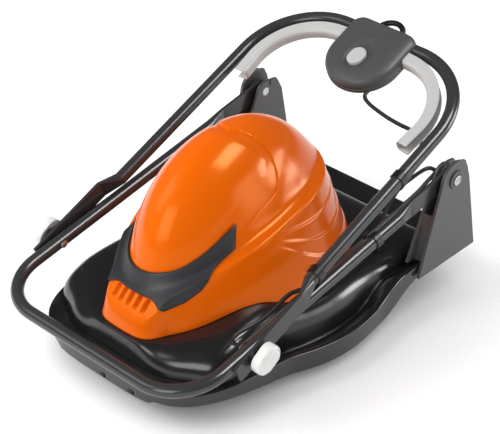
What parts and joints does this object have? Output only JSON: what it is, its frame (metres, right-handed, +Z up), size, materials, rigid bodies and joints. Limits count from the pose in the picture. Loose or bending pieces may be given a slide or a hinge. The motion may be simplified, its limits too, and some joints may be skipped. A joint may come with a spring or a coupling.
{
  "type": "hover mower",
  "caption": "Electric hover mower with an orange motor hood, charcoal deck, folded tube handle, twin switch levers and a spinning blade",
  "frame": {"origin": "on the ground under the middle of the folded mower, on the blade spindle's axis", "axes": "+X across, to the right seen from the front; -Y is the front, +Y the rear, where the handle pivots; +Z up"},
  "size_m": [0.4594, 0.6702, 0.3548],
  "materials": {
    "hood_orange": "glossy moulded plastic",
    "deck_charcoal": "semi-gloss moulded plastic with a fine grain",
    "bracket_grey": "satin moulded plastic",
    "trim_slate": "satin moulded plastic",
    "box_charcoal": "fine grained moulded plastic",
    "black_plastic": "satin moulded plastic",
    "lever_grey": "satin moulded plastic",
    "knob_white": "satin moulded plastic",
    "tube_graphite": "glossy graphite paint on steel tube",
    "steel": "bright plated steel",
    "blade_steel": "ground steel",
    "copper": "bare copper",
    "carbon": "dull carbon",
    "rubber_black": "dull rubber"
  },
  "bodies": {
    "chassis": {"deck_shell": "deck_charcoal", "fan_shroud": "deck_charcoal", "left_bracket": "bracket_grey", "right_bracket": "bracket_grey", "pivot_bolts": "steel", "pivot_nuts": "steel", "motor_hood": "hood_orange", "nose_trim": "trim_slate", "hood_screws": "steel", "motor_mount": "deck_charcoal", "spindle_bearings": "steel", "motor_can": "steel", "motor_end_cap": "black_plastic", "stator_core": "steel", "carbon_brushes": "carbon", "drive_belt": "rubber_black", "cable_gland": "rubber_black", "cable_deck": "rubber_black"},
    "motor_rotor": {"motor_shaft": "steel", "armature_core": "steel", "commutator": "copper", "motor_pulley": "black_plastic"},
    "spindle": {"spindle_shaft": "steel", "large_pulley": "black_plastic", "impeller": "deck_charcoal", "blade_spacers": "deck_charcoal", "cutting_blade": "blade_steel", "blade_bolt": "steel"},
    "lower_frame": {"lower_handle": "tube_graphite", "knob_bolts": "steel", "lower_clip": "black_plastic", "cable_lower": "rubber_black"},
    "upper_frame": {"upper_handle": "tube_graphite", "knob_washers": "black_plastic", "upper_clips": "black_plastic", "cable_upper": "rubber_black", "switch_cover": "box_charcoal", "switch_base": "box_charcoal", "box_screws": "steel", "microswitch": "black_plastic", "lever_pins": "steel", "cable_ring": "black_plastic", "mains_grommet": "rubber_black"},
    "button": {"lock_button": "lever_grey"},
    "lever_left": {"left_lever": "lever_grey"},
    "lever_right": {"right_lever": "lever_grey"},
    "knob_left": {"left_knob": "knob_white"},
    "knob_right": {"right_knob": "knob_white"}
  },
  "joints": [
    {"name": "lower_fold", "type": "hinge", "parent": "chassis", "child": "lower_frame", "pos_m": [0, 0.232, 0.2], "axis": [-1, 0, 0], "range_deg": [0, 147]},
    {"name": "upper_fold", "type": "hinge", "parent": "lower_frame", "child": "upper_frame", "pos_m": [0, -0.19979, 0.12075], "axis": [1, 0, 0], "range_deg": [0, 168]},
    {"name": "knob_left_turn", "type": "hinge", "parent": "lower_frame", "child": "knob_left", "pos_m": [0, -0.19979, 0.12075], "axis": [-1, 0, 0], "continuous": true},
    {"name": "knob_right_turn", "type": "hinge", "parent": "lower_frame", "child": "knob_right", "pos_m": [0, -0.19979, 0.12075], "axis": [1, 0, 0], "continuous": true},
    {"name": "lever_left_squeeze", "type": "hinge", "parent": "upper_frame", "child": "lever_left", "pos_m": [-0.044, 0.28155, 0.32013], "axis": [0, 0.3827, -0.9239], "range_deg": [0, 4.5], "stiffness_Nm_per_rad": 4, "springref_deg": -1.72},
    {"name": "lever_right_squeeze", "type": "hinge", "parent": "upper_frame", "child": "lever_right", "pos_m": [0.044, 0.28155, 0.32013], "axis": [0, -0.3827, 0.9239], "range_deg": [0, 4.5], "stiffness_Nm_per_rad": 4, "springref_deg": -1.72},
    {"name": "button_press", "type": "slide", "parent": "upper_frame", "child": "button", "axis": [0, 0.3827, -0.9239], "range_m": [0, 0.004], "stiffness_N_per_m": 800, "springref_m": -0.001},
    {"name": "spindle_spin", "type": "hinge", "parent": "chassis", "child": "spindle", "pos_m": [0, 0, 0.06], "axis": [0, 0, 1], "continuous": true},
    {"name": "motor_spin", "type": "hinge", "parent": "chassis", "child": "motor_rotor", "pos_m": [0, 0.074, 0.12], "axis": [0, 0, 1], "continuous": true}
  ],
  "couplings": [
    {"joint": "upper_fold", "follows": "lower_fold", "ratio": 1.1429},
    {"joint": "motor_spin", "follows": "spindle_spin", "ratio": 3.2857}
  ]
}
